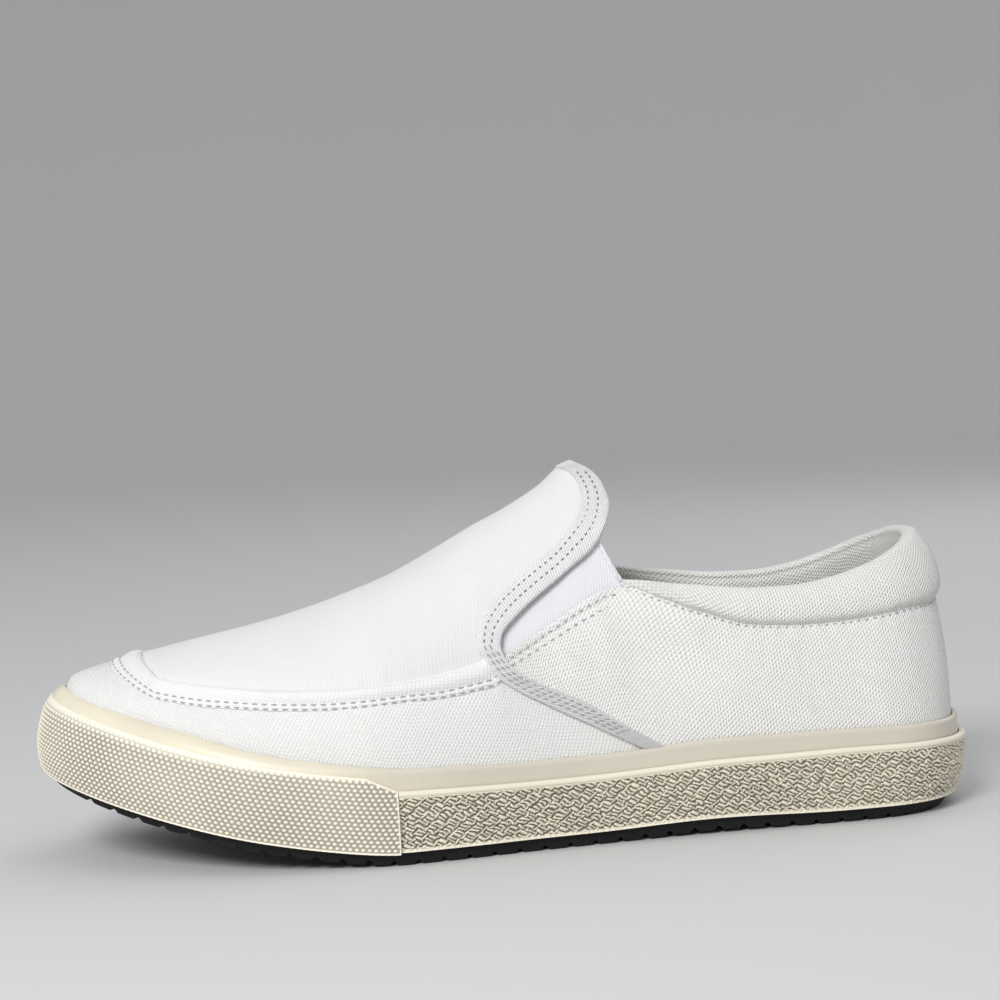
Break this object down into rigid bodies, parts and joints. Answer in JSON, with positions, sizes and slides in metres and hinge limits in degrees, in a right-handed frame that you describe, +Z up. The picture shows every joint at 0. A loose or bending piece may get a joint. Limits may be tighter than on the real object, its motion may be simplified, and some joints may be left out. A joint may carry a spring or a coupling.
{
  "type": "slip-on sneaker",
  "caption": "Left slip-on canvas sneaker with padded collar, elastic side gores, raised apron seam, textured cream rubber sides, toe bumper and black lugged outsole.",
  "frame": {"origin": "centre of the bounding box on the floor plane under the sole", "axes": "+X from heel to toe, +Y towards the wearer's left, which is the outer side of this left shoe, +Z up"},
  "size_m": [0.2992, 0.1102, 0.1173],
  "materials": {
    "outsole_rubber": "matte black rubber",
    "midsole_foam": "matte foam",
    "foxing_rubber": "smooth satin cream rubber",
    "sidewall_rubber": "textured cream rubber",
    "bumper_rubber": "textured cream rubber",
    "canvas": "plain weave white canvas",
    "tape": "folded woven tape",
    "insole_cloth": "off-white cloth"
  },
  "bodies": {
    "root": {"outsole": "outsole_rubber", "midsole": "midsole_foam", "foxing": "foxing_rubber", "sidewall_band": "sidewall_rubber", "toe_bumper": "bumper_rubber", "upper": "canvas", "vamp_binding": "tape", "insole": "insole_cloth"}
  },
  "joints": []
}
